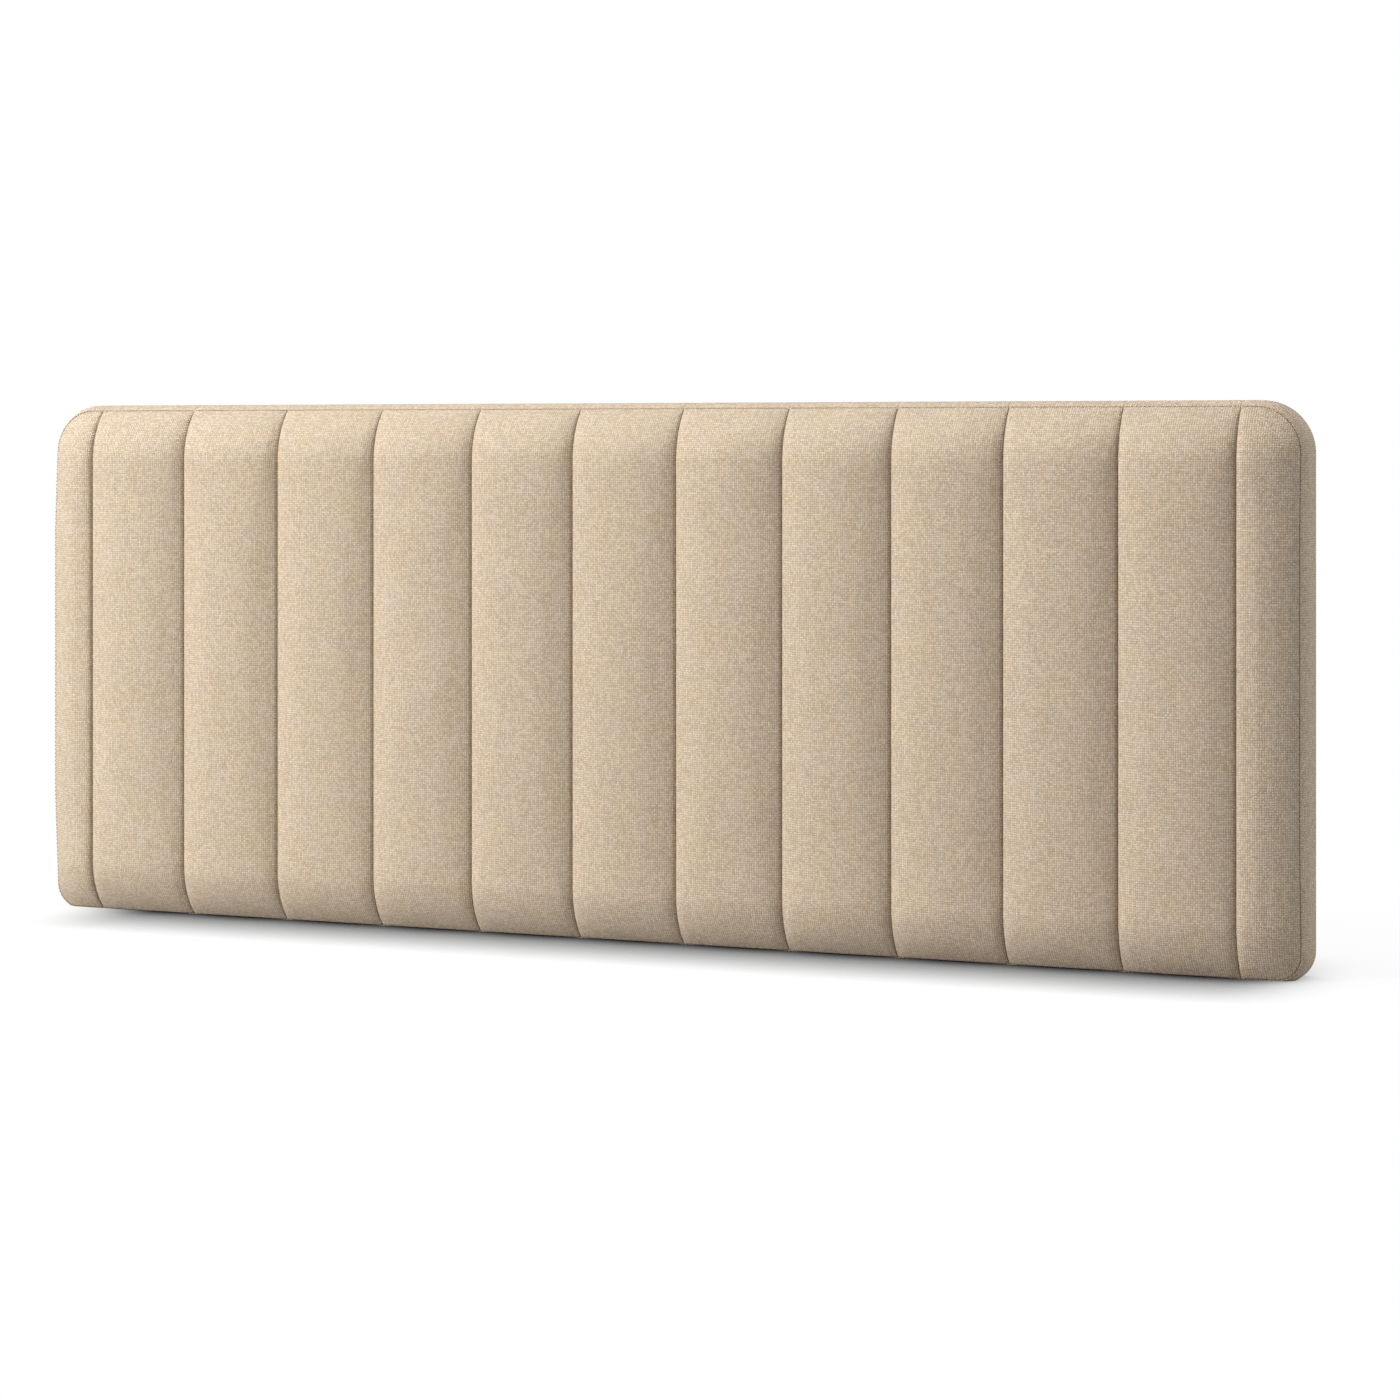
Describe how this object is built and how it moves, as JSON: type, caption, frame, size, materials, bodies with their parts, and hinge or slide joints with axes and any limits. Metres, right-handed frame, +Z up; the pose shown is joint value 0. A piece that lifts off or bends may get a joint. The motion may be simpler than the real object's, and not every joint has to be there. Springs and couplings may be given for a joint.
{
  "type": "upholstered headboard",
  "caption": "Low upholstered headboard panel with upright sewn channels, rounded corners and a boxed edge, padded over a timber frame with threaded inserts at the back.",
  "frame": {"origin": "floor level, under the middle of the panel", "axes": "+X across the bed, to the right seen from the bed; +Y to the wall; +Z up"},
  "size_m": [1.538, 0.0881, 0.61],
  "materials": {
    "cover_fabric": "matte",
    "padding_foam": "matte",
    "frame_timber": "matte",
    "plywood": "matte",
    "backing_cloth": "matte",
    "plated_steel": "satin"
  },
  "bodies": {
    "root": {"base_foam": "padding_foam", "bottom_cover_band": "cover_fabric", "bottom_edge_foam": "padding_foam", "bottom_left_corner_block": "frame_timber", "bottom_rail": "frame_timber", "bottom_right_corner_block": "frame_timber", "centre_upright": "frame_timber", "channel_cover_01": "cover_fabric", "channel_cover_02": "cover_fabric", "channel_cover_03": "cover_fabric", "channel_cover_04": "cover_fabric", "channel_cover_05": "cover_fabric", "channel_cover_06": "cover_fabric", "channel_cover_07": "cover_fabric", "channel_cover_08": "cover_fabric", "channel_cover_09": "cover_fabric", "channel_cover_10": "cover_fabric", "channel_cover_11": "cover_fabric", "channel_cover_12": "cover_fabric", "channel_cover_13": "cover_fabric", "channel_foam_01": "padding_foam", "channel_foam_02": "padding_foam", "channel_foam_03": "padding_foam", "channel_foam_04": "padding_foam", "channel_foam_05": "padding_foam", "channel_foam_06": "padding_foam", "channel_foam_07": "padding_foam", "channel_foam_08": "padding_foam", "channel_foam_09": "padding_foam", "channel_foam_10": "padding_foam", "channel_foam_11": "padding_foam", "channel_foam_12": "padding_foam", "channel_foam_13": "padding_foam", "corner_block_screws": "plated_steel", "cover_staples": "plated_steel", "dust_cover": "backing_cloth", "dust_cover_staples": "plated_steel", "facing_board": "plywood", "facing_board_screws": "plated_steel", "frame_dowels": "frame_timber", "left_cover_band": "cover_fabric", "left_edge_foam": "padding_foam", "left_stile": "frame_timber", "left_upright": "frame_timber", "right_cover_band": "cover_fabric", "right_edge_foam": "padding_foam", "right_stile": "frame_timber", "right_upright": "frame_timber", "strut_tee_nuts": "plated_steel", "top_cover_band": "cover_fabric", "top_edge_foam": "padding_foam", "top_left_corner_block": "frame_timber", "top_rail": "frame_timber", "top_right_corner_block": "frame_timber"}
  },
  "joints": []
}
